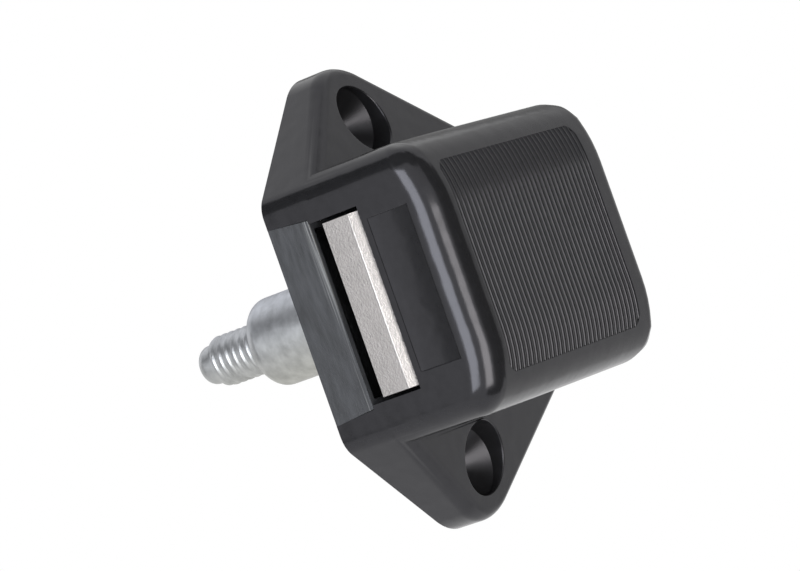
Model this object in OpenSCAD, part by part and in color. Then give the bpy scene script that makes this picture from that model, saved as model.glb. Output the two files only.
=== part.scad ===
// Push-button lock: a moulded box with two screw lugs, a sliding metal bolt in its end face
// and a threaded push rod that locks the bolt out on one press and lets it back on the next.
// Frame: the rod axis is Y and meets the mounting face at the origin, the lugs lie along Z,
// the bolt slides along X and leaves the box through the end face at -X.

/* [Box] */
// Distance from the rod axis to the end face that the bolt comes out of
backset = 16.6; // [16:0.1:20]
// Distance from the rod axis to the blind end of the box
box_back = 20.6; // [20:0.1:26]
// Depth from the mounting face to the ribbed face
box_depth = 21.6; // [21:0.1:26]
// Width across the two side walls
box_w = 30.9; // [28:0.1:36]
// Radius of the four edges that run in the depth direction
corner_r = 3.0; // [2:0.1:4]
// Radius of the edge where the ribbed face meets the bolt's end face
edge_r = 3.2; // [2:0.1:4]
// Radius of the edge where the ribbed face meets the blind end
back_r = 1.8; // [1:0.1:4]
// Half width of the flat band in the middle of the ribbed face
crown_flat = 7.0; // [4:0.1:9]
// Radius of the gentle crown on both sides of that flat band
crown_r = 16.0; // [12:0.5:24]
// Half width over which the gentle crown runs
crown_half = 12.0; // [11:0.1:13]
// Thickness of the end wall around the bolt slot
end_wall = 2.2; // [1.6:0.1:3]
// Thickness of the wall under the ribbed face
floor_wall = 2.2; // [1.8:0.1:3]
// Thickness of the blind end wall behind the bolt springs
blind_wall = 1.8; // [1.2:0.1:3]

/* [Ribs] */
// Distance between two grooves of the ribbed face
rib_pitch = 0.9; // [0.8:0.05:1.5]
// Width of a groove
rib_w = 0.45; // [0.3:0.05:0.7]
// Depth of a groove
rib_depth = 0.28; // [0.1:0.02:0.5]
// Number of grooves
rib_count = 33; // [10:1:34]
// Half length of a groove in the middle of the ribbed patch
rib_half = 12.0; // [8:0.1:12]
// Radius of the ribbed patch's corners
rib_corner = 2.5; // [0.5:0.1:4]

/* [Lugs] */
// Distance between the two screw holes
hole_spacing = 40.0; // [38:0.5:46]
// Radius of each lug's rounded tip
lug_r = 6.6; // [5.5:0.1:8]
// Thickness of a lug at its screw hole
lug_t = 6.0; // [5:0.1:8]
// Rise of the lug's front face towards the box, per mm of its length
lug_slope = 0.25; // [0:0.01:0.4]
// Diameter of the screw clearance hole
hole_d = 3.6; // [3:0.1:4.5]
// Diameter of the recess for the countersunk screw head
head_d = 8.1; // [6.5:0.1:9]
// Depth of that recess at its axis, above its conical seat
head_deep = 1.9; // [1:0.1:2.4]

/* [End face pocket] */
// Length of the shallow pocket beside the bolt
pocket_l = 17.3; // [10:0.1:19]
// Width of that pocket
pocket_w = 5.3; // [3:0.1:6]
// Depth of that pocket
pocket_depth = 0.4; // [0.2:0.1:1.6]
// Strip of end wall between the slot and the pocket
pocket_strip = 0.75; // [0.4:0.05:1.5]

/* [Back plate] */
// Thickness of the back plate
plate_t = 5.3; // [4.5:0.1:6]
// Width of the back plate at the mounting face
plate_w = 22.5; // [22:0.1:25]
// Taper of each long side over the plate's thickness
plate_taper = 0.5; // [0.2:0.05:0.8]
// Distance from the plate's blind end to the blind end of the box
plate_margin = 2.6; // [2:0.1:4]
// Clearance around the plate in its seat
plate_gap = 0.05; // [0.02:0.01:0.15]
// Radius of the snap bead along each long side
bead_r = 0.4; // [0.2:0.05:0.6]
// Thickness of the plate's end wall in front of its cored space
core_wall = 0.8; // [0.6:0.1:1.5]
// Thickness of the web between that space and the mounting face
core_web = 1.4; // [1:0.1:2.5]
// Thickness of the wall beside that space
core_rim = 1.0; // [0.8:0.1:2]

/* [Push rod] */
// Diameter of the plain collar
collar_d = 10.4; // [9:0.1:11]
// Distance from the mounting face to the shoulder at the end of the collar
collar_out = 16.4; // [12:0.1:24]
// Chamfer of that shoulder
collar_bevel = 1.7; // [0.5:0.1:2]
// Diameter of the threaded end
thread_d = 6.0; // [5:0.5:8]
// Length of the threaded end
thread_l = 6.9; // [4:0.1:12]
// Diameter of the plain nose in front of the thread
nose_d = 4.6; // [3:0.1:4.8]
// Length of that nose
nose_l = 2.4; // [1:0.1:4]
// Diameter of the tail inside the slide block
tail_d = 6.0; // [5:0.1:7]
// Radial clearance of the collar in the back plate
collar_gap = 0.08; // [0.03:0.01:0.1]

/* [Slide block] */
// Full travel of the push rod
stroke = 7.5; // [6:0.1:8]
// Length of the slide block along the bolt
block_l = 13.0; // [12:0.1:14]
// Gap between the slide block and the back plate with the rod out
stop_gap = 0.15; // [0.1:0.05:0.4]
// Gap between the slide block and the floor with the rod pressed home
floor_gap = 0.2; // [0.1:0.05:0.4]
// Diameter of the cross pin
pin_d = 2.5; // [2:0.1:3]
// Depth of the cross pin's axis below the top of the slide block
pin_drop = 2.1; // [1.8:0.1:2.6]
// Radial clearance of the cross pin and the tail in the slide block
pin_gap = 0.03; // [0.01:0.01:0.08]

/* [Bolt] */
// Width of the bolt
bolt_w = 19.8; // [18:0.1:21]
// Thickness of the bolt
bolt_t = 4.75; // [4:0.05:5.4]
// Gap between the back plate and the bolt
bolt_drop = 1.6; // [1:0.05:2]
// Length of the bolt's solid head
head_l = 7.3; // [5:0.1:8]
// How far the bolt's nose lies behind the end face with the rod out
bolt_recess = 0.2; // [0.1:0.05:1]
// Clearance between the bolt and the slot
bolt_gap = 0.25; // [0.15:0.05:0.4]
// Clearance between each end of the bolt and the slot
bolt_side = 0.45; // [0.3:0.05:0.6]
// Width of the nose's sloping side
bevel_w = 1.25; // [0.5:0.05:3]
// How far that side slopes back
bevel_back = 0.88; // [0.2:0.02:2]
// Bolt travel for each mm of rod travel
bolt_ratio = 1.2; // [1:0.05:1.4]
// Thickness of the two cheeks that the cross pin works
cheek_t = 3.5; // [3:0.1:3.8]
// Clearance between the cheeks and the slide block
cheek_gap = 0.4; // [0.2:0.05:0.6]

/* [Heart cam] */
// Diameter of the follower wire
wire_d = 1.5; // [1.2:0.1:1.6]
// Length of the follower's arm
arm_l = 4.0; // [3.5:0.1:4.5]
// Swing of the follower along the pressing leg
arm_swing = 30; // [24:1:32]
// Clearance of the wire in the cam track
track_gap = 0.2; // [0.15:0.05:0.3]
// Depth of the cam track
track_depth = 1.7; // [1.2:0.1:1.8]
// Thickness of the cam plate
cam_t = 2.5; // [2.3:0.1:3]
// Width of the cam plate
cam_w = 11.0; // [10:0.1:11.4]
// Thickness of the lips that hold the cam plate
lip_t = 0.5; // [0.4:0.1:0.8]
// Gap between the slide block and those lips
arm_room = 2.4; // [2.2:0.1:2.8]

/* [Springs and screws] */
// Wire diameter of the return spring
return_wire = 0.7; // [0.5:0.05:0.8]
// Number of turns of the return spring
return_turns = 3.5; // [3:0.5:4]
// Wire diameter of the two bolt springs
bolt_wire = 0.35; // [0.25:0.05:0.45]
// Outside diameter of the two bolt springs
bolt_spring_d = 3.0; // [2.4:0.1:3.2]
// Number of turns of the two bolt springs
bolt_turns = 9; // [6:1:12]
// Diameter of the two plate screws
screw_d = 2.2; // [1.8:0.1:2.6]
// Length of the two plate screws below the plate
screw_l = 6.0; // [4:0.5:9]
// Distance between the two plate screws
screw_spacing = 7.0; // [6:0.1:8]

/* [Hidden] */
$fn = 64;
eps = 0.01;
over = 1;
touch_gap = 0.05;
cheek_play = 0.4;
pin_inset = 0.2;
tail_wall = 0.5;
seat_web = 0.5;
seat_rim = 0.8;
floor_seat = 0.6;
window_clear = 0.12;
window_wall = 1.5;
arm_gap = 0.35;
pivot_drop = 1.4;
pivot_deep = 2.6;
hold_back = 1.5;
lip_over = 1;
thread_bevel = 0.5;
head_sink = 0.1;
head_rim = 0.2;
head_ratio = 1.9;
drive_w = 0.5;
drive_deep = 0.7;
hole_gap = 0.1;
pilot_gap = 0.02;
spigot_l = 2.2;
spigot_gap = 0.2;
leaf_t = 0.25;
leaf_play = 0.05;
half_w = box_w / 2;
rib_middle = (box_back - backset) / 2;
rib_span = rib_pitch * (rib_count - 1) + rib_w;
hole_z = hole_spacing / 2;
sink_h = (head_d - hole_d) / 2;
plate_y = -plate_t;
plate_end = box_back - plate_margin;
core_half = plate_w / 2 - plate_taper - core_rim;
core_l = backset - core_wall - collar_d / 2 - collar_gap - core_rim;
floor_y = -(box_depth - floor_wall);
cavity_x = -backset + end_wall;
room_h = plate_y - floor_y + over;
slot_w = bolt_w + 2 * bolt_side;
bolt_top = plate_y - bolt_drop;
bolt_bottom = bolt_top - bolt_t;
slot_y = bolt_bottom - bolt_gap;
bolt_nose = -backset + bolt_recess;
bolt_travel = stroke * bolt_ratio;
block_top = plate_y - stop_gap;
block_h = block_top - floor_y - stroke - floor_gap;
block_bottom = block_top - block_h;
block_w = bolt_w - 2 * cheek_t - 2 * cheek_gap;
pin_y = block_top - pin_drop;
pin_l = bolt_w - 2 * pin_inset;
tail_end = pin_y - pin_d / 2 - tail_wall;
seat_y = tail_end - seat_web;
seat_d = block_w - 2 * seat_rim;
cheek_z = (bolt_w - cheek_t) / 2;
channel_z = bolt_w / 2 - cheek_t - bolt_gap;
cheek_top = plate_y - cheek_play;
cheek_bottom = floor_y + cheek_play;
cheek_front = cavity_x + bolt_travel + cheek_play;
window_r = pin_d / 2 + window_clear;
cheek_end = bolt_travel + window_r + window_wall;
channel_end = box_back - blind_wall;
lip_x = block_l / 2 + arm_room;
cam_x = lip_x + lip_t;
cam_end = cam_x + cam_t;
arm_x = block_l / 2 + arm_gap + wire_d / 2;
pivot_y = block_top - pivot_drop;
rest_y = pivot_y - arm_l;
press_y = pivot_y - stroke - arm_l * cos(arm_swing);
press_z = arm_l * sin(arm_swing);
hold_y = rest_y - stroke + hold_back;
track_w = wire_d + 2 * track_gap;
screw_x = (cam_end + plate_end) / 2;
screw_head = screw_d * head_ratio;
head_cone = (screw_head - screw_d) / 2;
leaf_top = pivot_y - wire_d / 2 - pin_gap - leaf_play;
bolt_spring_y = (cheek_top + cheek_bottom) / 2;

// Outward normal of the line that touches two circles
function touch(a, ra, b, rb, side) =
  let (d = b - a, l = norm(d), u = d / l, s = (ra - rb) / l)
  u * s + [-u[1], u[0]] * side * sqrt(1 - s * s);

// Area between two circles up to the line that touches both
module touch_area(a, ra, b, rb, side) {
  m = touch(a, ra, b, rb, side);
  polygon([a, a + m * ra, b + m * rb, b]);
}

// Rectangle with four round corners
module round_rect(x0, x1, z0, z1, r) {
  translate([x0, z0 + r]) square([x1 - x0, z1 - z0 - 2 * r]);
  translate([x0 + r, z0]) square([x1 - x0 - 2 * r, z1 - z0]);
  for (x = [x0 + r, x1 - r]) for (z = [z0 + r, z1 - r]) translate([x, z]) circle(r);
}

// Turns a drawing in X and Z into a body that runs from y0 down by depth
module along_y(y0, depth) {
  translate([0, y0, 0]) rotate([90, 0, 0]) linear_extrude(depth) children();
}

// Turns a drawing in Y and Z into a body that runs along X
module along_x(x0, length) {
  translate([x0, 0, 0]) rotate([90, 0, 90]) linear_extrude(length) children();
}

// Outline of the flange: the box's corners and the two lug tips
module flange_2d() {
  cz = half_w - corner_r;
  xl = -backset + corner_r;
  xr = box_back - corner_r;
  for (s = [-1, 1]) {
    translate([0, s * hole_z]) circle(lug_r);
    touch_area([0, s * hole_z], lug_r, [xl, s * cz], corner_r, -s);
    touch_area([0, s * hole_z], lug_r, [xr, s * cz], corner_r, s);
    polygon([[0, s * hole_z], [xl, s * cz], [xl, 0], [xr, 0], [xr, s * cz]]);
  }
  round_rect(-backset, box_back, -half_w, half_w, corner_r);
}

// Cross-section of the box in Y and Z, with the crown of the ribbed face lowered by inset
module crown_2d(inset) {
  y0 = -box_depth + inset;
  a = asin((crown_half - crown_flat) / crown_r);
  drop = crown_r * (1 - cos(a));
  side_r = (half_w - crown_half) / (1 - sin(a));
  zc = half_w - side_r;
  yc = y0 + drop + side_r * cos(a);
  translate([y0, -crown_flat]) square([-y0, 2 * crown_flat]);
  for (s = [-1, 1]) mirror([0, s < 0 ? 1 : 0]) {
    intersection() {
      translate([y0 + crown_r, crown_flat]) circle(crown_r, $fn = 180);
      translate([y0, crown_flat - eps]) square([-y0, crown_half - crown_flat + eps]);
    }
    intersection() {
      translate([yc, zc]) circle(side_r);
      translate([y0, crown_half - eps]) square([-y0, half_w]);
    }
    translate([yc, 0]) square([-yc, half_w]);
  }
}

// Section of the box seen along Z, with the two rounded edges of the ribbed face
module side_2d() {
  translate([-backset + edge_r, -box_depth]) square([backset + box_back - edge_r - back_r, box_depth]);
  translate([-backset, -box_depth + edge_r]) square([2 * edge_r, box_depth - edge_r]);
  translate([box_back - 2 * back_r, -box_depth + back_r]) square([2 * back_r, box_depth - back_r]);
  translate([-backset + edge_r, -box_depth + edge_r]) circle(edge_r);
  translate([box_back - back_r, -box_depth + back_r]) circle(back_r);
}

module box_body() {
  intersection() {
    along_y(0, box_depth) round_rect(-backset, box_back, -half_w, half_w, corner_r);
    translate([0, 0, -box_w]) linear_extrude(2 * box_w) side_2d();
    along_x(-2 * backset, 2 * (backset + box_back)) crown_2d(0);
  }
}

// Half length of the groove that lies at a distance from the middle of the ribbed patch
function rib_reach(x) =
  let (d = max(0, abs(x) - rib_span / 2 + rib_corner))
  rib_half - rib_corner + sqrt(rib_corner * rib_corner - d * d);

module ribs() {
  for (i = [0 : rib_count - 1]) {
    x = (i - (rib_count - 1) / 2) * rib_pitch;
    r = rib_reach(x);
    along_x(rib_middle + x - rib_w / 2, rib_w) difference() {
      translate([-box_depth - over, -r]) square([2 * over, 2 * r]);
      crown_2d(rib_depth);
    }
  }
}

module lug_body() {
  zi = half_w - 2 * corner_r;
  zo = hole_z + lug_r + over;
  intersection() {
    along_y(0, box_depth) flange_2d();
    for (s = [-1, 1]) along_x(-2 * backset, 2 * (backset + box_back))
      polygon([[0, s * zi], [-lug_t - (hole_z - zi) * lug_slope, s * zi],
               [-lug_t + (zo - hole_z) * lug_slope, s * zo], [0, s * zo]]);
  }
}

// Section of the back plate in Y and Z, grown by g
module plate_2d(g) {
  w = plate_w / 2 + g;
  polygon([[eps, -w], [eps, w], [plate_y - g, w - plate_taper], [plate_y - g, -w + plate_taper]]);
}

module snap_beads(g) {
  for (s = [-1, 1])
    translate([cavity_x, plate_y / 2, s * (plate_w - plate_taper) / 2])
      rotate([0, 90, 0]) cylinder(r = bead_r + g, h = backset - end_wall);
}

module housing() {
  color([0.10, 0.10, 0.11]) difference() {
    union() {
      box_body();
      lug_body();
    }
    // screw holes in the lugs, each with a conical seat and a recess for the head
    for (s = [-1, 1]) translate([0, over, s * hole_z]) rotate([90, 0, 0]) {
      cylinder(d = hole_d, h = box_depth);
      translate([0, 0, over + lug_t - head_deep - sink_h]) cylinder(d1 = hole_d, d2 = head_d, h = sink_h);
      translate([0, 0, over + lug_t - head_deep]) cylinder(d = head_d, h = box_depth);
    }
    // seat of the back plate
    along_x(-backset - over, backset + over + plate_end + plate_gap) plate_2d(plate_gap);
    snap_beads(plate_gap);
    // room for the slide block and the bolt
    translate([cavity_x, floor_y, -slot_w / 2]) cube([lip_x - cavity_x, room_h, slot_w]);
    for (s = [-1, 1]) mirror([0, 0, s < 0 ? 1 : 0]) translate([0, floor_y, channel_z])
      cube([channel_end, room_h, slot_w / 2 - channel_z]);
    // slot in the end wall
    translate([-backset - over, slot_y, -slot_w / 2])
      cube([end_wall + 2 * over, plate_y - slot_y + over, slot_w]);
    // guide of the cam plate
    translate([cam_x, floor_y, -cam_w / 2 - plate_gap])
      cube([cam_t + plate_gap, room_h, cam_w + 2 * plate_gap]);
    translate([lip_x - over, floor_y, -cam_w / 2 + lip_over])
      cube([lip_t + 2 * over, room_h, cam_w - 2 * lip_over]);
    // round seat of the return spring
    translate([0, floor_y + over, 0]) rotate([90, 0, 0]) cylinder(d = block_w, h = over + floor_seat);
    // pocket in the end face
    translate([-backset - over, slot_y - pocket_strip - pocket_w, -pocket_l / 2])
      cube([over + pocket_depth, pocket_w, pocket_l]);
    // grooves of the ribbed face
    ribs();
    // pilot holes of the plate screws
    for (s = [-1, 1]) translate([screw_x, 0, s * screw_spacing / 2]) rotate([90, 0, 0])
      cylinder(d = screw_d + 2 * pilot_gap, h = plate_t + screw_l + over);
  }
}

module base_plate() {
  color([0.27, 0.28, 0.30]) difference() {
    union() {
      intersection() {
        along_x(-backset, backset + plate_end) plate_2d(0);
        translate([-2 * backset, plate_y, -box_w]) cube([2 * (backset + box_back), plate_t, 2 * box_w]);
      }
      snap_beads(0);
    }
    translate([0, over, 0]) rotate([90, 0, 0])
      cylinder(d = collar_d + 2 * collar_gap, h = plate_t + 2 * over);
    // cored space between the end wall and the rod
    translate([-backset + core_wall, plate_y - over, -core_half])
      cube([core_l, over + plate_t - core_web, 2 * core_half]);
    for (s = [-1, 1]) translate([screw_x, 0, s * screw_spacing / 2]) rotate([90, 0, 0]) {
      translate([0, 0, -over]) cylinder(d = screw_d + 2 * hole_gap, h = plate_t + 2 * over);
      translate([0, 0, -over]) cylinder(d = screw_head + 2 * hole_gap, h = over + head_sink + head_rim);
      translate([0, 0, head_sink + head_rim])
        cylinder(d1 = screw_head + 2 * hole_gap, d2 = screw_d + 2 * hole_gap, h = head_cone);
    }
  }
}

module plate_screw() {
  difference() {
    rotate([90, 0, 0]) rotate_extrude() polygon([
      [0, head_sink], [screw_head / 2, head_sink], [screw_head / 2, head_sink + head_rim],
      [screw_d / 2, head_sink + head_rim + head_cone],
      [screw_d / 2, plate_t + screw_l - screw_d / 2], [0, plate_t + screw_l]]);
    for (a = [0, 90]) rotate([0, a, 0])
      translate([-screw_d / 2, -head_sink - drive_deep, -drive_w / 2]) cube([screw_d, over, drive_w]);
  }
}

module plate_screws() {
  color([0.72, 0.73, 0.75])
    for (s = [-1, 1]) translate([screw_x, 0, s * screw_spacing / 2]) plate_screw();
}

module push_rod() {
  end = collar_out + thread_l + nose_l;
  nose_bevel = nose_d / 8;
  color([0.74, 0.76, 0.79]) difference() {
    rotate([-90, 0, 0]) rotate_extrude() polygon([
      [0, tail_end], [tail_d / 2, tail_end], [tail_d / 2, block_top],
      [collar_d / 2, block_top], [collar_d / 2, collar_out - collar_bevel],
      [collar_d / 2 - collar_bevel, collar_out], [thread_d / 2, collar_out],
      [thread_d / 2, collar_out + thread_l - thread_bevel],
      [thread_d / 2 - thread_bevel, collar_out + thread_l],
      [nose_d / 2, collar_out + thread_l], [nose_d / 2, end - nose_bevel],
      [nose_d / 2 - nose_bevel, end], [0, end]]);
    translate([0, pin_y, -collar_d]) cylinder(d = pin_d + 2 * pin_gap, h = 2 * collar_d);
  }
}

module slide_block() {
  color([0.86, 0.85, 0.80]) difference() {
    translate([-block_l / 2, block_bottom, -block_w / 2]) cube([block_l, block_h, block_w]);
    // bore for the rod's tail
    translate([0, block_top + over, 0]) rotate([90, 0, 0])
      cylinder(d = tail_d + 2 * pin_gap, h = block_top + over - tail_end + pin_gap);
    // cross hole for the pin
    translate([0, pin_y, -block_w]) cylinder(d = pin_d + 2 * pin_gap, h = 2 * block_w);
    // seat of the return spring
    translate([0, seat_y, 0]) rotate([90, 0, 0]) cylinder(d = seat_d, h = block_h);
    // pivot hole of the follower
    translate([block_l / 2 - pivot_deep, pivot_y, 0]) rotate([0, 90, 0])
      cylinder(d = wire_d + 2 * pin_gap, h = pivot_deep + over);
    // recess of the follower's leaf spring
    translate([block_l / 2 - leaf_t - 2 * leaf_play, block_bottom - over, -press_z - leaf_play])
      cube([over, leaf_top + leaf_play - block_bottom + over, 2 * (press_z + leaf_play)]);
  }
}

module cross_pin() {
  color([0.70, 0.71, 0.74]) translate([0, pin_y, -pin_l / 2]) cylinder(d = pin_d, h = pin_l);
}

// Window in a cheek: the cross pin's place with the rod out, its path and the room to be pushed back
module cam_window() {
  p = [[0, pin_y], [0, pin_y - stroke], [bolt_travel, pin_y - stroke]];
  polygon(p);
  for (i = [0 : 2]) {
    translate(p[i]) circle(window_r);
    touch_area(p[i], window_r, p[(i + 1) % 3], window_r, -1);
  }
}

module latch_bolt() {
  rear = bolt_nose + head_l;
  color([0.76, 0.75, 0.72]) {
    difference() {
      union() {
        translate([0, 0, -bolt_w / 2]) linear_extrude(bolt_w) polygon([
          [bolt_nose, bolt_top], [bolt_nose, bolt_bottom + bevel_w],
          [bolt_nose + bevel_back, bolt_bottom], [rear, bolt_bottom], [rear, bolt_top]]);
        for (s = [-1, 1]) translate([0, 0, s * cheek_z - cheek_t / 2]) linear_extrude(cheek_t) {
          translate([rear - over, bolt_bottom]) square([cheek_front - rear + 2 * over, bolt_t]);
          translate([cheek_front, cheek_bottom]) square([cheek_end - cheek_front, cheek_top - cheek_bottom]);
        }
      }
      translate([0, 0, -bolt_w]) linear_extrude(2 * bolt_w) cam_window();
    }
    // spigots that carry the bolt springs
    for (s = [-1, 1]) translate([cheek_end, bolt_spring_y, s * cheek_z]) rotate([0, 90, 0])
      cylinder(d = bolt_spring_d - 2 * (bolt_wire + spigot_gap), h = spigot_l);
  }
}

// Wire wound along Z from z0 to z1, its coil radius going from r0 to r1
module coil(z0, z1, r0, r1, wire, turns, steps, sides) {
  n = round(turns * steps);
  pts = [for (i = [0 : n]) let (t = i / n, a = 360 * turns * t, r = r0 + (r1 - r0) * t,
         z = z0 + wire / 2 + (z1 - z0 - wire) * t)
         for (k = [0 : sides - 1]) let (b = 360 * k / sides, q = r + wire / 2 * cos(b))
         [q * cos(a), q * sin(a), z + wire / 2 * sin(b)]];
  m = sides;
  polyhedron(pts, concat(
    [[for (k = [0 : m - 1]) k]],
    [for (i = [0 : n - 1]) for (k = [0 : m - 1])
      [i * m + k, (i + 1) * m + k, (i + 1) * m + (k + 1) % m, i * m + (k + 1) % m]],
    [[for (k = [m - 1 : -1 : 0]) n * m + k]]), convexity = 10);
}

module bolt_spring(s) {
  translate([0, bolt_spring_y, s * cheek_z]) rotate([0, 90, 0])
    coil(cheek_end + touch_gap, channel_end - touch_gap, (bolt_spring_d - bolt_wire) / 2,
         (bolt_spring_d - bolt_wire) / 2, bolt_wire, bolt_turns, 16, 6);
}

module bolt_spring_upper() {
  color([0.66, 0.67, 0.70]) bolt_spring(1);
}

module bolt_spring_lower() {
  color([0.66, 0.67, 0.70]) bolt_spring(-1);
}

module return_spring() {
  r_top = tail_d / 2 + return_wire;
  r_low = seat_d / 2;
  color([0.66, 0.67, 0.70]) rotate([90, 0, 0])
    coil(-seat_y + touch_gap, -floor_y + floor_seat - touch_gap, r_top, r_low,
         return_wire, return_turns, 24, 8);
}

// Closed heart-shaped path of the follower: rest, pressed home, held, let go
module heart_track() {
  p = [[rest_y, 0], [press_y, press_z], [hold_y, 0], [press_y, -press_z]];
  for (i = [0 : 3]) {
    a = p[i];
    d = p[(i + 1) % 4] - a;
    translate(a) circle(d = track_w);
    translate(a) rotate(atan2(d[1], d[0])) translate([0, -track_w / 2]) square([norm(d), track_w]);
  }
}

module cam_plate() {
  color([0.86, 0.85, 0.80]) difference() {
    translate([cam_x, floor_y + touch_gap, -cam_w / 2])
      cube([cam_t, plate_y - floor_y - 2 * touch_gap, cam_w]);
    along_x(cam_x - over, over + track_depth) heart_track();
  }
}

// Bent wire: pivot end in the slide block, arm, and a pin end in the cam track
module cam_follower() {
  color([0.70, 0.71, 0.74]) {
    translate([block_l / 2 - pivot_deep + touch_gap, pivot_y, 0]) rotate([0, 90, 0])
      cylinder(d = wire_d, h = arm_x - block_l / 2 + pivot_deep - touch_gap);
    translate([arm_x, pivot_y, 0]) sphere(d = wire_d);
    translate([arm_x, pivot_y, 0]) rotate([90, 0, 0]) cylinder(d = wire_d, h = arm_l);
    translate([arm_x, rest_y, 0]) sphere(d = wire_d);
    translate([arm_x, rest_y, 0]) rotate([0, 90, 0])
      cylinder(d = wire_d, h = cam_x + track_depth - track_gap - arm_x);
  }
}

module follower_spring() {
  color([0.66, 0.67, 0.70])
    translate([block_l / 2 - leaf_t - leaf_play, block_bottom + leaf_play, -press_z])
      cube([leaf_t, leaf_top - block_bottom - leaf_play, 2 * press_z]);
}

housing();
base_plate();
plate_screws();
push_rod();
slide_block();
cross_pin();
latch_bolt();
bolt_spring_upper();
bolt_spring_lower();
return_spring();
cam_plate();
cam_follower();
follower_spring();
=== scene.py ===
"""Dresses the push-button lock: moulded shell, back plate, turned rod, bolt, inner parts and stage."""

import math

import bmesh
import bpy
from bpy.props import FloatProperty, FloatVectorProperty, IntProperty, PointerProperty
from mathutils import Matrix, Vector


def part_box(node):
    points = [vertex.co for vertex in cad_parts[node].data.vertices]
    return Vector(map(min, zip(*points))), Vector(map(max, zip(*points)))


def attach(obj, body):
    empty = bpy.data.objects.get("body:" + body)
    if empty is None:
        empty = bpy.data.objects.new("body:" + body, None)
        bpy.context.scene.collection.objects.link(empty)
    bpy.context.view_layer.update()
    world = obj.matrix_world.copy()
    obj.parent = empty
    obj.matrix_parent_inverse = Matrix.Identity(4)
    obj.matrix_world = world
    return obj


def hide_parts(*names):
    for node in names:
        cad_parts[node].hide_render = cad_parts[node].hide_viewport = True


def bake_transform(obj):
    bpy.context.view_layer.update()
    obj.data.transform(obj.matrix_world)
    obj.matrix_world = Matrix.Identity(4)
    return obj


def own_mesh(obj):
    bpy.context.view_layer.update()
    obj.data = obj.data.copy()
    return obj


bl_info = {
    "name": "Push-button lock",
    "version": (1, 0, 0),
    "blender": (4, 5, 0),
    "location": "View3D > Sidebar > Lock",
    "description": "Builds the visible pieces of a push-button lock around its solids",
    "category": "Object",
}

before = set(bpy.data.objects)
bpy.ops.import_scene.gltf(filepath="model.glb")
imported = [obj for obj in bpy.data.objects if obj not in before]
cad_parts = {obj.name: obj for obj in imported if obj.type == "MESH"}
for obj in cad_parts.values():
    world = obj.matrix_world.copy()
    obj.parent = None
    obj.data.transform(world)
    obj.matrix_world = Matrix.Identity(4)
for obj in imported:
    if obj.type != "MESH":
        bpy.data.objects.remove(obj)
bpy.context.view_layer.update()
MM = 0.001


def node_box(node):
    """Lowest and highest corner of a solid, in mm."""
    low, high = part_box(node)
    return low / MM, high / MM


SHELL_LOW, SHELL_HIGH = node_box("housing")
PLATE_LOW, PLATE_HIGH = node_box("base_plate")
BOLT_LOW = node_box("latch_bolt")[0]
ROD_LOW, ROD_HIGH = node_box("push_rod")

# Two places count as the same below this distance, in mm
TOUCH = 0.001

# An edge counts as sharp above this angle, in radians
SHARP = 0.5

# A cutting tool reaches this far past the surface that it opens, in mm
CLEAR = 1.0

# Where the front's crown ends its arc and goes on straight, in mm from the middle
CROWN_EDGE = 12.0

# Seat of the back plate, in mm
PLATE_HALF = 11.25
SEAT_GAP = 0.06
SEAT_DRAW = 0.5

# Room for the parts inside, in mm: places along X and Y, half widths along Z
SLOT_LOW, SLOT_END, SLOT_HALF = -11.9, -13.0, 10.35
ROOM_NEAR, ROOM_FAR = -14.4, 8.9
ROOM_TOP, ROOM_LOW = -4.0, -19.4
CHANNEL_INNER, CHANNEL_FAR = 6.15, 18.8
GUIDE_NEAR, GUIDE_FAR, GUIDE_HALF = 9.4, 11.9, 5.55
WINDOW_NEAR, WINDOW_FAR, WINDOW_HALF = 8.0, 10.4, 4.5
SPRING_TOP, SPRING_LOW, SPRING_RADIUS = -18.4, -20.0, 6.0
PILOT_X, PILOT_Z, PILOT_LOW, PILOT_RADIUS = 14.95, 3.5, -12.3, 1.12

# Pocket beside the bolt, in mm
POCKET_NEAR, POCKET_FAR, POCKET_HALF = -12.65, -17.95, 8.65


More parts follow.
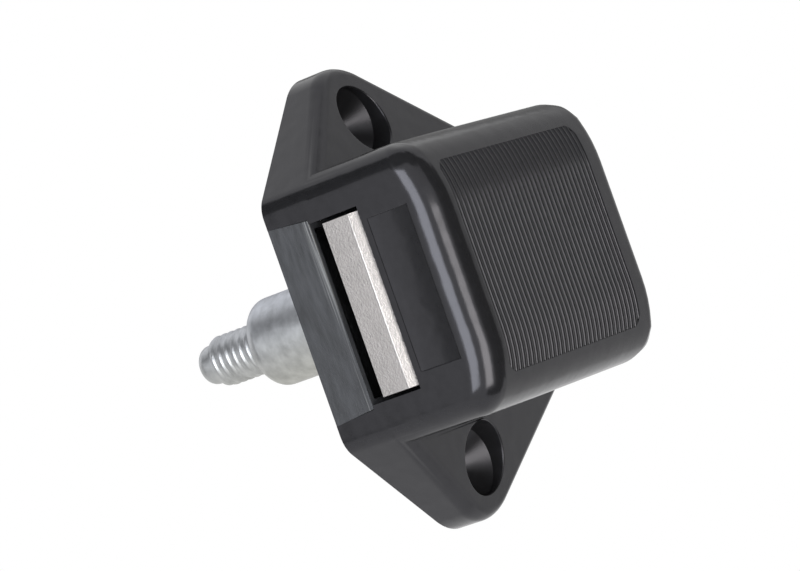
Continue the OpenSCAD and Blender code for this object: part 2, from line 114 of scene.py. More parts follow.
class LockSizes(bpy.types.PropertyGroup):
    """Sizes of the visible pieces, in mm"""

    box_half: FloatProperty(
        name="Box half width", description="Half the width across the side walls",
        default=15.45, min=14, max=18,
    )
    edge_round: FloatProperty(
        name="Box edge", description="Rounding of the box's edges",
        default=3.1, min=1, max=4,
    )
    far_round: FloatProperty(
        name="Far edge", description="Rounding of the front's edge at the blind end",
        default=1.8, min=1, max=4,
    )
    crown_flat: FloatProperty(
        name="Crown flat", description="Half width of the front's flat band",
        default=7.0, min=4, max=9,
    )
    crown_radius: FloatProperty(
        name="Crown radius", description="Radius of the front's gentle crown",
        default=16.0, min=12, max=24,
    )
    corner_round: FloatProperty(
        name="Flange corner", description="Radius where a lug leaves the box",
        default=3.0, min=2, max=4,
    )
    lug_pitch: FloatProperty(
        name="Lug pitch", description="Distance between the screw holes",
        default=40.0, min=36, max=46,
    )
    lug_tip: FloatProperty(
        name="Lug tip", description="Radius of a lug's tip",
        default=6.6, min=5, max=8,
    )
    lug_height: FloatProperty(
        name="Lug height", description="Thickness of a lug at its hole",
        default=6.0, min=4, max=8,
    )
    lug_slope: FloatProperty(
        name="Lug slope", description="Rise of a lug's face towards the box",
        default=0.25, min=0, max=0.4,
    )
    lug_round: FloatProperty(
        name="Lug edge", description="Rounding of a lug's front edge on the bolt's side",
        default=1.6, min=0.2, max=2.5,
    )
    lug_round_far: FloatProperty(
        name="Lug far edge", description="Rounding of a lug's front edge on the blind side",
        default=0.9, min=0.2, max=2.5,
    )
    lug_fillet: FloatProperty(
        name="Lug fillet", description="Fillet between a lug and the box",
        default=0.45, min=0.1, max=1.5,
    )
    hole_radius: FloatProperty(
        name="Hole", description="Radius of a screw hole",
        default=1.8, min=1, max=3,
    )
    head_radius: FloatProperty(
        name="Head recess", description="Radius of a screw head's recess",
        default=4.05, min=3, max=5,
    )
    head_deep: FloatProperty(
        name="Recess depth", description="Depth of the recess above its conical seat",
        default=1.9, min=1, max=2.4,
    )
    rib_pitch: FloatProperty(
        name="Rib pitch", description="Distance between two grooves",
        default=0.9, min=0.6, max=2,
    )
    rib_width: FloatProperty(
        name="Groove width", description="Width of a groove at the surface",
        default=0.82, min=0.2, max=0.95,
    )
    rib_depth: FloatProperty(
        name="Groove depth", description="Depth of a groove",
        default=0.235, min=0.05, max=0.6,
    )
    rib_count: IntProperty(
        name="Grooves", description="Number of grooves",
        default=33, min=3, max=36,
    )
    rib_start: FloatProperty(
        name="First groove", description="Place of the first groove",
        default=-12.4, min=-14, max=0,
    )
    rib_half: FloatProperty(
        name="Groove half length", description="Half the length of a groove",
        default=12.0, min=5, max=12.5,
    )
    thread_pitch: FloatProperty(
        name="Thread pitch", description="Pitch of the rod's thread",
        default=1.0, min=0.5, max=1.5,
    )
    pocket_depth: FloatProperty(
        name="Pocket depth", description="Depth of the pocket beside the bolt",
        default=0.10, min=0.05, max=1.4,
    )
    pocket_far: FloatProperty(
        name="Pocket far depth", description="Depth of the pocket at its far rim",
        default=0.05, min=0.02, max=1.4,
    )
    pocket_sink: FloatProperty(
        name="Pocket sink", description="Sunken middle of the pocket's floor",
        default=0.15, min=0, max=0.2,
    )
    ridge_round: FloatProperty(
        name="Bolt ridge", description="Rounding of the ridge on the bolt's nose",
        default=0.025, min=0.01, max=0.6,
    )
    plate_edge: FloatProperty(
        name="Plate edge", description="Rounding of the back plate's edges",
        default=0.26, min=0.02, max=0.4,
    )
    small_edge: FloatProperty(
        name="Small edges", description="Rounding of the small edges",
        default=0.14, min=0.02, max=0.3,
    )


class LockFinish(bpy.types.PropertyGroup):
    """Colours of the finishes"""

    shell: FloatVectorProperty(
        name="Shell", description="Black moulded plastic",
        subtype="COLOR", size=3, default=(0.0130, 0.0130, 0.0142), min=0, max=1,
    )
    plate: FloatVectorProperty(
        name="Plate", description="Dark grey plastic",
        subtype="COLOR", size=3, default=(0.042, 0.044, 0.049), min=0, max=1,
    )
    nickel: FloatVectorProperty(
        name="Nickel", description="Satin nickel of the bolt",
        subtype="COLOR", size=3, default=(0.52, 0.50, 0.495), min=0, max=1,
    )
    zinc: FloatVectorProperty(
        name="Zinc", description="Bright zinc of the rod",
        subtype="COLOR", size=3, default=(0.50, 0.505, 0.515), min=0, max=1,
    )
    steel: FloatVectorProperty(
        name="Steel", description="Plain steel inside",
        subtype="COLOR", size=3, default=(0.52, 0.53, 0.55), min=0, max=1,
    )
    acetal: FloatVectorProperty(
        name="Acetal", description="Natural plastic inside",
        subtype="COLOR", size=3, default=(0.70, 0.68, 0.60), min=0, max=1,
    )


class LockStage(bpy.types.PropertyGroup):
    """Camera and light"""

    azimuth: FloatProperty(name="Azimuth", description="Camera's turn round it, in degrees", default=-57.0)
    elevation: FloatProperty(name="Elevation", description="Camera's height, in degrees", default=-1.2)
    roll: FloatProperty(name="Roll", description="Turn of the picture, in degrees", default=-19.53)
    distance: FloatProperty(name="Distance", description="Camera's distance, in mm", default=449.79)
    aside: FloatProperty(name="Aside", description="Camera's shift to the right, in mm", default=1.99)
    above: FloatProperty(name="Above", description="Camera's shift upwards, in mm", default=1.98)
    lens: FloatProperty(name="Lens", description="Focal length on a 36 mm sensor", default=180.9)
    floor: FloatProperty(name="Floor", description="Height of the floor, in mm", default=-320.0)


def sizes():
    return bpy.context.scene.lock_sizes


def finish():
    return bpy.context.scene.lock_finish


def rest():
    """Object mode with nothing selected."""
    if bpy.context.mode != "OBJECT":
        bpy.ops.object.mode_set(mode="OBJECT")
    bpy.ops.object.select_all(action="DESELECT")


def activate(obj):
    rest()
    obj.select_set(True)
    bpy.context.view_layer.objects.active = obj


def apply_place(obj):
    activate(obj)
    bpy.ops.object.transform_apply(location=True, rotation=True, scale=True)


def block(name, low, high):
    """Box between two corners."""
    rest()
    low, high = Vector(low), Vector(high)
    bpy.ops.mesh.primitive_cube_add(size=1, location=(low + high) / 2)
    obj = bpy.context.object
    obj.name = name
    obj.scale = high - low
    apply_place(obj)
    return obj


def barrel(name, start, end, radius, sides=96):
    """Cylinder between two points that lie on one axis of the frame."""
    rest()
    start, end = Vector(start), Vector(end)
    way = end - start
    middle = (start + end) / 2
    bpy.ops.mesh.primitive_cylinder_add(vertices=sides, radius=radius, depth=way.length, location=middle)
    obj = bpy.context.object
    obj.name = name
    obj.rotation_euler = way.to_track_quat("Z", "Y").to_euler()
    apply_place(obj)
    return obj


def turned(name, profile, sides=96):
    """Turned piece: a disc that is drawn out along Y and resized at each step of its profile."""
    rest()
    radius, level = profile[0]
    bpy.ops.mesh.primitive_circle_add(
        vertices=sides, radius=radius, fill_type="NGON", location=(0, level, 0), rotation=(math.pi / 2, 0, 0)
    )
    obj = bpy.context.object
    obj.name = name
    apply_place(obj)
    edit_all(obj, "FACE")
    for (r0, y0), (r1, y1) in zip(profile, profile[1:]):
        bpy.ops.mesh.extrude_region_move(TRANSFORM_OT_translate={"value": (0, y1 - y0, 0)})
        ratio = r1 / r0
        if abs(ratio - 1) > 0.0001:
            bpy.ops.transform.resize(value=(ratio, 1, ratio), center_override=(0, y1, 0))
    bpy.ops.mesh.select_all(action="SELECT")
    bpy.ops.mesh.normals_make_consistent(inside=False)
    rest()
    return obj


def edit(obj, kind):
    activate(obj)
    bpy.ops.object.mode_set(mode="EDIT")
    bpy.ops.mesh.select_mode(type=kind)
    bpy.ops.mesh.select_all(action="DESELECT")
    return bmesh.from_edit_mesh(obj.data)


def edit_all(obj, kind="VERT"):
    edit(obj, kind)
    bpy.ops.mesh.select_all(action="SELECT")


def choose(obj, kind, test):
    """Selects the vertices, edges or faces that pass a test of their place, and stays in edit mode."""
    mesh = edit(obj, kind)
    items = {"VERT": mesh.verts, "EDGE": mesh.edges, "FACE": mesh.faces}[kind]
    found = [item for item in items if test(item)]
    if not found:
        raise RuntimeError("nothing to shape was found on " + obj.name)
    for item in found:
        item.select_set(True)
    mesh.select_flush_mode()
    bmesh.update_edit_mesh(obj.data)


def slice_at(obj, point, normal, drop=False):
    edit_all(obj)
    bpy.ops.mesh.bisect(plane_co=point, plane_no=normal, use_fill=drop, clear_outer=drop, threshold=0.00001)
    rest()


def shift_vertices(obj, test, offset):
    choose(obj, "VERT", test)
    bpy.ops.transform.translate(value=offset)
    rest()


def round_edges(obj, test, offset, segments):
    choose(obj, "EDGE", test)
    bpy.ops.mesh.bevel(
        offset=offset, offset_type="OFFSET", segments=segments, profile=0.5,
        affect="EDGES", clamp_overlap=False,
    )
    rest()


def round_by_share(obj, share, width, segments):
    """Rounds each edge by its share of a width. The share is worked out from the edge's two ends."""
    mesh = obj.data
    weights = mesh.attributes.new("bevel_weight_edge", "FLOAT", "EDGE")
    for edge in mesh.edges:
        a, b = (mesh.vertices[index].co for index in edge.vertices)
        weights.data[edge.index].value = share(a, b)
    activate(obj)
    rounding = obj.modifiers.new("edges", "BEVEL")
    rounding.limit_method = "WEIGHT"
    rounding.width = width
    rounding.segments = segments
    rounding.use_clamp_overlap = False
    bpy.ops.object.modifier_apply(modifier=rounding.name)
    mesh.attributes.remove(mesh.attributes["bevel_weight_edge"])


def combine(obj, tool, operation):
    activate(obj)
    cut = obj.modifiers.new(operation.lower(), "BOOLEAN")
    cut.operation = operation
    cut.solver = "EXACT"
    cut.object = tool
    bpy.ops.object.modifier_apply(modifier=cut.name)
    bpy.data.objects.remove(tool)


def join(parts, name):
    activate(parts[0])
    for part in parts[1:]:
        part.select_set(True)
    bpy.ops.object.join()
    parts[0].name = name
    return parts[0]


def to_metres(obj, angle):
    """Brings a piece drawn in mm to metres and gives it smooth shading with sharp edges kept."""
    obj.scale = (MM, MM, MM)
    apply_place(obj)
    smooth(obj, angle)


def smooth(obj, angle):
    activate(obj)
    bpy.ops.object.shade_smooth_by_angle(angle=math.radians(angle))
    weighted = obj.modifiers.new("weighted", "WEIGHTED_NORMAL")
    weighted.keep_sharp = True
    bpy.ops.object.modifier_apply(modifier=weighted.name)


def paint(obj, material):
    obj.data.materials.clear()
    obj.data.materials.append(material)


def dress(obj, material, body, node):
    """Gives a piece its material and its body, and hides the solid that it stands for."""
    obj.data.name = obj.name
    paint(obj, material)
    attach(obj, body)
    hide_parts(node)


def copy_solid(node, name):
    """New piece from a copy of a solid's mesh, with its vertices merged."""
    rest()
    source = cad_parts[node]
    obj = bpy.data.objects.new(name, source.data.copy())
    bpy.context.scene.collection.objects.link(obj)
    edit_all(obj)
    bpy.ops.mesh.customdata_custom_splitnormals_clear()
    bpy.ops.mesh.remove_doubles(threshold=TOUCH * MM)
    rest()
    return obj


def merge_flats(obj):
    """Joins the triangles of each flat face."""
    edit_all(obj)
    bpy.ops.mesh.dissolve_limited(angle_limit=math.radians(0.5))
    rest()


def soften(obj, width, angle):
    """Rounds the sharp edges of a copied solid."""
    activate(obj)
    bevel = obj.modifiers.new("edges", "BEVEL")
    bevel.width = width
    bevel.segments = 2
    bevel.limit_method = "ANGLE"
    bevel.angle_limit = math.radians(angle)
    bpy.ops.object.modifier_apply(modifier=bevel.name)
    smooth(obj, 30)


def grain_group():
    """Shared effect: grain on a vector, as a value between two limits and as a height."""
    group = bpy.data.node_groups.get("surface_grain")
    if group:
        return group
    group = bpy.data.node_groups.new("surface_grain", "ShaderNodeTree")
    face = group.interface
    face.new_socket("Vector", in_out="INPUT", socket_type="NodeSocketVector")
    for label, value in (("Scale", 1000.0), ("Detail", 4.0), ("Low", 0.3), ("High", 0.5)):
        face.new_socket(label, in_out="INPUT", socket_type="NodeSocketFloat").default_value = value
    face.new_socket("Value", in_out="OUTPUT", socket_type="NodeSocketFloat")
    face.new_socket("Height", in_out="OUTPUT", socket_type="NodeSocketFloat")
    nodes, links = group.nodes, group.links
    source = nodes.new("NodeGroupInput")
    noise = nodes.new("ShaderNodeTexNoise")
    spread = nodes.new("ShaderNodeMapRange")
    spread.inputs["From Min"].default_value = 0.3
    spread.inputs["From Max"].default_value = 0.7
    result = nodes.new("NodeGroupOutput")
    links.new(source.outputs["Vector"], noise.inputs["Vector"])
    links.new(source.outputs["Scale"], noise.inputs["Scale"])
    links.new(source.outputs["Detail"], noise.inputs["Detail"])
    links.new(noise.outputs["Fac"], spread.inputs["Value"])
    links.new(source.outputs["Low"], spread.inputs["To Min"])
    links.new(source.outputs["High"], spread.inputs["To Max"])
    links.new(spread.outputs["Result"], result.inputs["Value"])
    links.new(noise.outputs["Fac"], result.inputs["Height"])
    return group


def add_grain(tree, stretch, scale, detail, low, high):
    """Places the grain effect with its own stretch and values."""
    place = tree.nodes.new("ShaderNodeTexCoord")
    turn = tree.nodes.new("ShaderNodeMapping")
    turn.inputs["Scale"].default_value = stretch
    grain = tree.nodes.new("ShaderNodeGroup")
    grain.node_tree = grain_group()
    grain.inputs["Scale"].default_value = scale
    grain.inputs["Detail"].default_value = detail
    grain.inputs["Low"].default_value = low
    grain.inputs["High"].default_value = high
    tree.links.new(place.outputs["Object"], turn.inputs["Vector"])
    tree.links.new(turn.outputs["Vector"], grain.inputs["Vector"])
    return grain


def add_math(tree, kind, operation):
    """New node of the Math or VectorMath kind."""
    node = tree.nodes.new("ShaderNode" + kind)
    node.operation = operation
    return node


def add_ramp(tree, start, end):
    """New node whose value goes from 0 to 1 between two places, in mm."""
    ramp = tree.nodes.new("ShaderNodeMapRange")
    ramp.inputs["From Min"].default_value = start * MM
    ramp.inputs["From Max"].default_value = end * MM
    return ramp


def add_colours(tree, blend="MIX"):
    """New node that mixes two colours."""
    mix = tree.nodes.new("ShaderNodeMix")
    mix.data_type = "RGBA"
    mix.blend_type = blend
    return mix


def add_place(tree):
    """New nodes for the Object coordinates, whole and split into X, Y and Z."""
    place = tree.nodes.new("ShaderNodeTexCoord")
    split = tree.nodes.new("ShaderNodeSeparateXYZ")
    tree.links.new(place.outputs["Object"], split.inputs["Vector"])
    return place, split


def put_before(tree, label, mix):
    """Sends what feeds an input of the shader through a mix first."""
    goal = tree.nodes["Principled BSDF"].inputs[label]
    tree.links.new(goal.links[0].from_socket, mix.inputs["A"])
    tree.links.new(mix.outputs["Result"], goal)


def make_finish(
    name, colour, shade, metal, rough, bump, grain, stretch=(1, 1, 1), gloss=0.5, wave=0.0, tint=(1, 1, 1)
):
    """Material with cloudy colour, grained roughness and a fine, slightly wavy surface.

    The grain's size and the wave's height are in mm.
    """
    material = bpy.data.materials.get(name)
    if material:
        return material
    material = bpy.data.materials.new(name)
    material.use_nodes = True
    tree = material.node_tree
    shader = tree.nodes["Principled BSDF"]
    shader.inputs["Metallic"].default_value = metal
    shader.inputs["Specular IOR Level"].default_value = gloss
    shader.inputs["Specular Tint"].default_value = (*tint, 1)
    clouds = add_grain(tree, stretch, scale=0.12 / (grain * MM), detail=3.0, low=0.0, high=1.0)
    shades = add_colours(tree)
    shades.inputs["A"].default_value = (*(c * (1 - shade) for c in colour), 1)
    shades.inputs["B"].default_value = (*(min(1, c * (1 + shade)) for c in colour), 1)
    tree.links.new(clouds.outputs["Value"], shades.inputs["Factor"])
    tree.links.new(shades.outputs["Result"], shader.inputs["Base Color"])
    fine = add_grain(tree, stretch, scale=1 / (grain * MM), detail=5.0, low=rough[0], high=rough[1])
    tree.links.new(fine.outputs["Value"], shader.inputs["Roughness"])
    relief = tree.nodes.new("ShaderNodeBump")
    relief.inputs["Strength"].default_value = bump
    relief.inputs["Distance"].default_value = 0.02 * MM
    tree.links.new(fine.outputs["Height"], relief.inputs["Height"])
    swell = tree.nodes.new("ShaderNodeBump")
    swell.inputs["Distance"].default_value = wave * MM
    waves = add_grain(tree, stretch=(1, 1, 1), scale=0.4 / MM, detail=1.0, low=0.0, high=1.0)
    tree.links.new(waves.outputs["Height"], swell.inputs["Height"])
    tree.links.new(swell.outputs["Normal"], relief.inputs["Normal"])
    tree.links.new(relief.outputs["Normal"], shader.inputs["Normal"])
    return material


def black_plastic():
    """Glossy black plastic that stays rough inside the two screw recesses."""
    material = make_finish(
        "moulded_black", finish().shell, shade=0.10, metal=0.0, rough=(0.15, 0.21), bump=0.12, grain=0.10,
        gloss=0.4, wave=0.05, tint=(0.98, 0.97, 1.06),
    )
    s = sizes()
    tree = material.node_tree
    place, split = add_place(tree)
    fold = add_math(tree, "VectorMath", "ABSOLUTE")
    centre = add_math(tree, "VectorMath", "SUBTRACT")
    centre.inputs[1].default_value = (0, 0, s.lug_pitch / 2 * MM)
    flat = add_math(tree, "VectorMath", "MULTIPLY")
    flat.inputs[1].default_value = (1, 0, 1)
    reach = add_math(tree, "VectorMath", "LENGTH")
    inside = add_ramp(tree, s.head_radius + 0.15, s.head_radius - 0.05)
    sunk = add_ramp(tree, -0.2, -0.4)
    both = add_math(tree, "Math", "MULTIPLY")
    rough = tree.nodes.new("ShaderNodeMix")
    rough.inputs["B"].default_value = 0.34
    tree.links.new(place.outputs["Object"], fold.inputs[0])
    tree.links.new(fold.outputs["Vector"], centre.inputs[0])
    tree.links.new(centre.outputs["Vector"], flat.inputs[0])
    tree.links.new(flat.outputs["Vector"], reach.inputs[0])
    tree.links.new(reach.outputs["Value"], inside.inputs["Value"])
    tree.links.new(split.outputs["Y"], sunk.inputs["Value"])
    tree.links.new(inside.outputs["Result"], both.inputs[0])
    tree.links.new(sunk.outputs["Result"], both.inputs[1])
    tree.links.new(both.outputs["Value"], rough.inputs["Factor"])
    put_before(tree, "Roughness", rough)
    return material


def grey_plastic():
    """Matt grey plastic with a few thin painted highlight lines along the edge beside the bolt."""
    material = make_finish(
        "moulded_grey", finish().plate, shade=0.28, metal=0.0, rough=(0.30, 0.46), bump=1.0, grain=0.12,
        stretch=(1, 1.8, 0.32), gloss=0.4,
    )
    tree = material.node_tree
    split = add_place(tree)[1]
    # Painted highlight: thin light lines on the plate's end beside the bolt stand in for light caught by that
    # edge.
    beside = add_ramp(tree, -4.3, -5.0)
    outside = add_ramp(tree, SHELL_LOW.x + 0.3, SHELL_LOW.x + 0.1)
    lines = add_grain(tree, stretch=(0, 1, 0.02), scale=3.6 / MM, detail=1.0, low=-0.8, high=1.0)
    edge = add_math(tree, "Math", "MULTIPLY")
    highlight_lines = add_math(tree, "Math", "MULTIPLY")
    highlight_lines.use_clamp = True
    painted_highlight = add_colours(tree)
    painted_highlight.inputs["B"].default_value = (0.24, 0.245, 0.25, 1)
    tree.links.new(split.outputs["Y"], beside.inputs["Value"])
    tree.links.new(split.outputs["X"], outside.inputs["Value"])
    tree.links.new(beside.outputs["Result"], edge.inputs[0])
    tree.links.new(outside.outputs["Result"], edge.inputs[1])
    tree.links.new(edge.outputs["Value"], highlight_lines.inputs[0])
    tree.links.new(lines.outputs["Value"], highlight_lines.inputs[1])
    tree.links.new(highlight_lines.outputs["Value"], painted_highlight.inputs["Factor"])
    put_before(tree, "Base Color", painted_highlight)
    return material


def satin_nickel():
    return make_finish(
        "satin_nickel", finish().nickel, shade=0.05, metal=1.0, rough=(0.17, 0.28), bump=1.0, grain=0.24
    )


def bright_zinc():
    """Bright zinc with a painted reflection: its colour turns bluish above and darker, warmer below."""
    material = make_finish(
        "bright_zinc", finish().zinc, shade=0.16, metal=1.0, rough=(0.34, 0.50), bump=0.4, grain=0.20,
        stretch=(1, 1.4, 1),
    )
    tree = material.node_tree
    split = add_place(tree)[1]
    # Painted reflection: the colour is multiplied by a blend that runs from darker and warm below to bluish
    # above, across 5 mm each side of the middle.
    collar = 5
    height = add_ramp(tree, -collar, collar)
    reflection_tint = add_colours(tree)
    reflection_tint.inputs["A"].default_value = (0.86, 0.85, 0.77, 1)
    reflection_tint.inputs["B"].default_value = (0.95, 0.98, 1.06, 1)
    painted_reflection = add_colours(tree, "MULTIPLY")
    painted_reflection.inputs["Factor"].default_value = 1
    tree.links.new(split.outputs["Z"], height.inputs["Value"])
    tree.links.new(height.outputs["Result"], reflection_tint.inputs["Factor"])
    tree.links.new(reflection_tint.outputs["Result"], painted_reflection.inputs["B"])
    put_before(tree, "Base Color", painted_reflection)
    return material


def plain_steel():
    return make_finish(
        "plain_steel", finish().steel, shade=0.08, metal=1.0, rough=(0.28, 0.42), bump=0.3, grain=0.20
    )


def natural_acetal():
    return make_finish(
        "natural_acetal", finish().acetal, shade=0.05, metal=0.0, rough=(0.40, 0.52), bump=0.3, grain=0.20
    )


def crown_drop(z):
    """How far the front lies below its flat band at a distance from the middle."""
    s = sizes()
    far = max(0.0, abs(z) - s.crown_flat)
    edge = CROWN_EDGE - s.crown_flat
    if far <= edge:
        return s.crown_radius - math.sqrt(s.crown_radius**2 - far**2)
    slope = edge / math.sqrt(s.crown_radius**2 - edge**2)
    return s.crown_radius - math.sqrt(s.crown_radius**2 - edge**2) + (far - edge) * slope


def crown_lines():
    s = sizes()
    step = (CROWN_EDGE - s.crown_flat) / 4
    return [sign * (s.crown_flat + step * k) for sign in (-1, 1) for k in range(5)]


def lower_crown(obj, low, high, lines):
    """Lowers the vertices between two levels to follow the crown."""
    for z in lines:
        drop = crown_drop(z)
        if drop > 0:
            shift_vertices(obj, lambda v: low < v.co.y < high and abs(v.co.z - z) < TOUCH, (0, drop, 0))


def box_core():
    """The box with its crowned front and round edges."""
    s = sizes()
    low = (SHELL_LOW.x, SHELL_LOW.y, -s.box_half)
    high = (SHELL_HIGH.x, 0, s.box_half)
    core = block("housing_shell", low, high)
    for z in crown_lines():
        slice_at(core, (0, 0, z), (0, 0, 1))
    lower_crown(core, SHELL_LOW.y - 0.1, SHELL_LOW.y + 0.1, crown_lines() + [-s.box_half, s.box_half])

    def share(a, b):
        near = max(a.x, b.x) < low[0] + TOUCH
        far = min(a.x, b.x) > high[0] - TOUCH
        front = max(a.y, b.y) < SHELL_LOW.y + 4
        sides = all(abs(abs(spot.z) - s.box_half) < TOUCH for spot in (a, b))
        if far and front:
            return s.far_round / s.edge_round
        return 1.0 if (near and front) or (sides and front) or (sides and (near or far)) else 0.0

    round_by_share(core, share, s.edge_round, 10)
    return core


def rib_comb():
    """The tool that cuts the ribs: a groove between two round ribs, copied along the box.

    The grooves end in a patch with round corners.
    """
    s = sizes()
    top = SHELL_LOW.y - 2 * CLEAR
    level = SHELL_LOW.y + 0.012
    margin = 0.1
    corner = 2.0
    half = s.rib_width / 2
    steep = 2 * math.atan(s.rib_depth / half)
    radius = half / math.sin(steep)
    comb = block("rib_comb", (-half, top, -s.rib_half), (half, level, s.rib_half))
    lines = [z for z in crown_lines() if abs(z) < s.rib_half]
    for z in lines:
        slice_at(comb, (0, 0, z), (0, 0, 1))
    steps = 5
    for k in range(1, steps + 1):
        turn = steep * k / steps
        for side in (-1, 1) if k < steps else (1,):
            x = side * (half - radius * math.sin(turn))
            slice_at(comb, (x, 0, 0), (1, 0, 0))
            sunk = (0, radius * (1 - math.cos(turn)), 0)
            shift_vertices(comb, lambda v: v.co.y > level - TOUCH and abs(v.co.x - x) < TOUCH / 2, sunk)
    lower_crown(comb, level - 0.1, level + 1, lines + [-s.rib_half, s.rib_half])
    shift_vertices(comb, lambda v: True, (s.rib_start, 0, 0))
    activate(comb)
    row = comb.modifiers.new("row", "ARRAY")
    row.count = s.rib_count
    row.use_relative_offset = False
    row.use_constant_offset = True
    row.constant_offset_displace = (s.rib_pitch, 0, 0)
    bpy.ops.object.modifier_apply(modifier=row.name)
    end = s.rib_start + s.rib_pitch * (s.rib_count - 1)
    low = (s.rib_start - half - margin, top - CLEAR, -s.rib_half - margin)
    high = (end + half + margin, level + 3, s.rib_half + margin)
    patch = block("rib_patch", low, high)
    round_edges(patch, lambda e: abs(e.verts[0].co.y - e.verts[1].co.y) > 1, corner, 8)
    combine(comb, patch, "INTERSECT")
    return comb


def lug_face(z):
    """Level of a lug's front face."""
    s = sizes()
    return -s.lug_height - (s.lug_pitch / 2 - abs(z)) * s.lug_slope


def lug(sign):
    """One lug: the hull of its tip and the box's corners, cut to its sloping face and rounded in front."""
    s = sizes()
    deep = -14.0
    near_turn, far_turn = 132, 56
    spots = [(0, sign * s.lug_pitch / 2, s.lug_tip)]
    for x in (SHELL_LOW.x + s.corner_round, SHELL_HIGH.x - s.corner_round):
        spots.append((x, sign * (s.box_half - s.corner_round), s.corner_round))
    parts = [barrel("lug_core", (x, 0, z), (x, deep, z), r, 96) for x, z, r in spots]
    piece = join(parts, "lug_piece")
    edit_all(piece)
    bpy.ops.mesh.convex_hull()
    bpy.ops.mesh.select_all(action="SELECT")
    bpy.ops.mesh.dissolve_limited(angle_limit=math.radians(0.4))
    rest()
    middle = sign * s.lug_pitch / 2
    normal = Vector((0, -1, sign * s.lug_slope)).normalized()
    slice_at(piece, (0, lug_face(middle), middle), normal, drop=True)

    def share(a, b):
        if any(abs(spot.y - lug_face(spot.z)) > 2 * TOUCH for spot in (a, b)):
            return 0.0
        spot = (a + b) / 2
        turn = math.degrees(math.atan2(abs(spot.z) - s.lug_pitch / 2, spot.x))
        part = min(1, max(0, (near_turn - turn) / (near_turn - far_turn))) if turn > -90 else 0
        return 1 + (s.lug_round_far / s.lug_round - 1) * part

    round_by_share(piece, share, s.lug_round, 6)
    return piece


def screw_holes():
    """The tools for the lugs' holes and for the recesses of their screws' heads."""
    s = sizes()
    rim = s.head_deep - s.lug_height
    bottom = rim + s.head_radius - s.hole_radius
    tools = []
    for sign in (-1, 1):
        z = sign * s.lug_pitch / 2
        tools.append(barrel("hole", (0, CLEAR, z), (0, -s.head_deep, z), s.hole_radius))
        recess = turned("head_recess", [(s.hole_radius, bottom), (s.head_radius, rim), (s.head_radius, -16)])
        shift_vertices(recess, lambda v: True, (0, 0, z))
        tools.append(recess)
    return tools


def plate_seat():
    """The tool for the back plate's seat, whose sides draw in towards its floor."""
    half = PLATE_HALF + SEAT_GAP
    low = (SHELL_LOW.x - CLEAR, PLATE_LOW.y - SEAT_GAP, -half)
    high = (PLATE_HIGH.x + SEAT_GAP, CLEAR, half)
    seat = block("plate_seat", low, high)
    for sign in (-1, 1):
        shift_vertices(seat, lambda v: v.co.y < -1 and v.co.z * sign > 0, (0, 0, -sign * SEAT_DRAW))
    return seat


def inner_room():
    """The tools for the bolt's slot and the room for the parts inside."""
    tools = [
        block("bolt_slot", (SHELL_LOW.x - CLEAR, SLOT_LOW, -SLOT_HALF), (SLOT_END, ROOM_TOP, SLOT_HALF)),
        block("room", (ROOM_NEAR, ROOM_LOW, -SLOT_HALF), (ROOM_FAR, ROOM_TOP, SLOT_HALF)),
    ]
    for sign in (-1, 1):
        near, far = sorted((sign * CHANNEL_INNER, sign * SLOT_HALF))
        tools.append(block("channel", (0, ROOM_LOW, near), (CHANNEL_FAR, ROOM_TOP, far)))
    for name, near, far, half in (
        ("cam_guide", GUIDE_NEAR, GUIDE_FAR, GUIDE_HALF),
        ("cam_window", WINDOW_NEAR, WINDOW_FAR, WINDOW_HALF),
    ):
        tools.append(block(name, (near, ROOM_LOW, -half), (far, ROOM_TOP, half)))
    tools.append(barrel("spring_seat", (0, SPRING_TOP, 0), (0, SPRING_LOW, 0), SPRING_RADIUS, 64))
    for z in (-PILOT_Z, PILOT_Z):
        tools.append(barrel("pilot", (PILOT_X, CLEAR, z), (PILOT_X, PILOT_LOW, z), PILOT_RADIUS, 32))
    return tools


def end_pocket():
    """The tool for the shallow pocket beside the bolt, with a slightly sunken floor."""
    s = sizes()
    floor = SHELL_LOW.x + s.pocket_depth
    low = (SHELL_LOW.x - CLEAR, POCKET_FAR, -POCKET_HALF)
    tool = block("pocket", low, (floor, POCKET_NEAR, POCKET_HALF))
    steps = 8
    reach = POCKET_FAR - POCKET_NEAR
    parts = [k / steps for k in range(1, steps + 1)]
    for part in parts[:-1]:
        slice_at(tool, (0, POCKET_NEAR + reach * part, 0), (0, 1, 0))
    for part in parts:
        y = POCKET_NEAR + reach * part
        sunk = s.pocket_sink * 4 * part * (1 - part) + (s.pocket_far - s.pocket_depth) * part
        shift_vertices(tool, lambda v: v.co.x > floor - TOUCH and abs(v.co.y - y) < TOUCH, (sunk, 0, 0))
    return tool


def turns_by(e, angle):
    """True where an edge's two faces meet in a ridge of at least an angle, in radians."""
    return len(e.link_faces) == 2 and e.calc_face_angle_signed(0) >= angle


